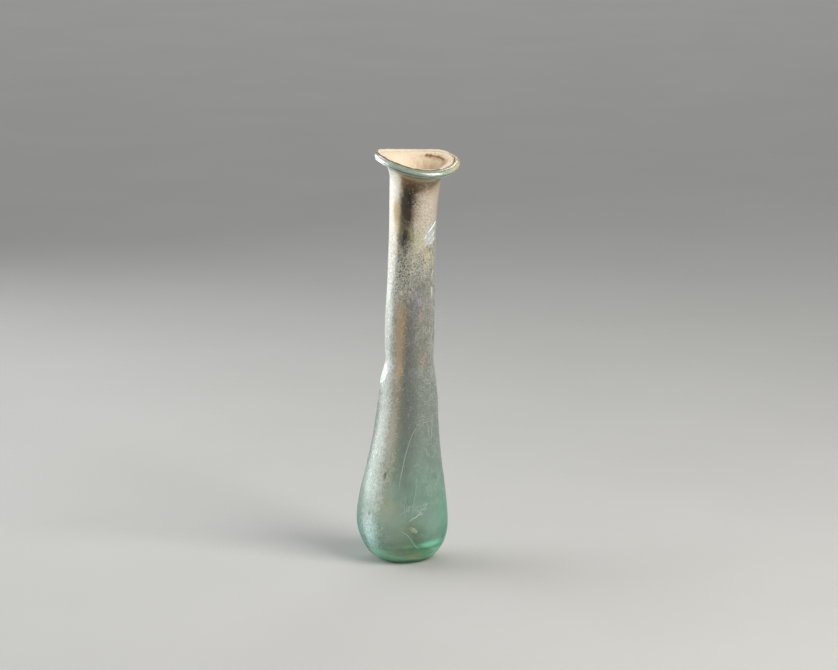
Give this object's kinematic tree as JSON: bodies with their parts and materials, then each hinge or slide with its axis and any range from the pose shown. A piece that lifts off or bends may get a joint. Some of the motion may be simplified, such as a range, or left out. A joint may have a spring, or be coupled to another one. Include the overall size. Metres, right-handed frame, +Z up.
{
  "type": "glass unguentarium",
  "caption": "Slender hollow flask of blown glass: a pear-shaped body on a small flat foot, a nipped-in shoulder, a long narrow neck and a flared mouth with a folded, rolled edge.",
  "frame": {"origin": "centre of the small flat foot that the flask stands on", "axes": "+Z up along the flask's height, -Y towards the side that the picture shows, +X to its right"},
  "size_m": [0.0279, 0.0252, 0.1116],
  "materials": {
    "weathered_glass": "pale blue-green blown glass with a thin pearly, stained weathering skin"
  },
  "bodies": {
    "root": {"glass_vessel": "weathered_glass"}
  },
  "joints": []
}
